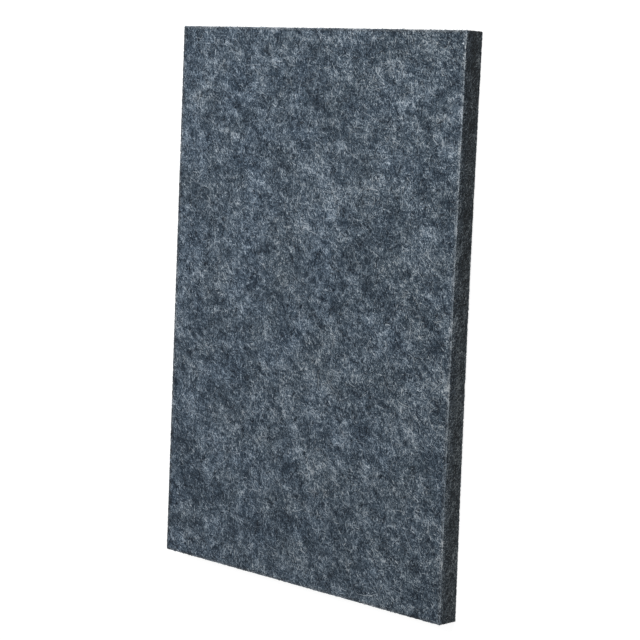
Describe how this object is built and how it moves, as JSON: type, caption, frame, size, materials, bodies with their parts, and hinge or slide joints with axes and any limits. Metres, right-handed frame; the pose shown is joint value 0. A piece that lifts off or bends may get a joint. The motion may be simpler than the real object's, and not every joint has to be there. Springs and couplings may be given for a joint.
{
  "type": "polyester acoustic panel",
  "caption": "Flat rectangular acoustic board of dense heathered polyester felt with plain knife-cut edges.",
  "frame": {"origin": "centre of the back face, which is the face that the panel lies on", "axes": "+X across the panel's width, +Y along its length, +Z out of the front face"},
  "size_m": [0.21, 0.297, 0.012],
  "materials": {
    "felt": "matt heathered blue-grey felt, needled and heat-pressed"
  },
  "bodies": {
    "root": {"felt_board": "felt"}
  },
  "joints": []
}
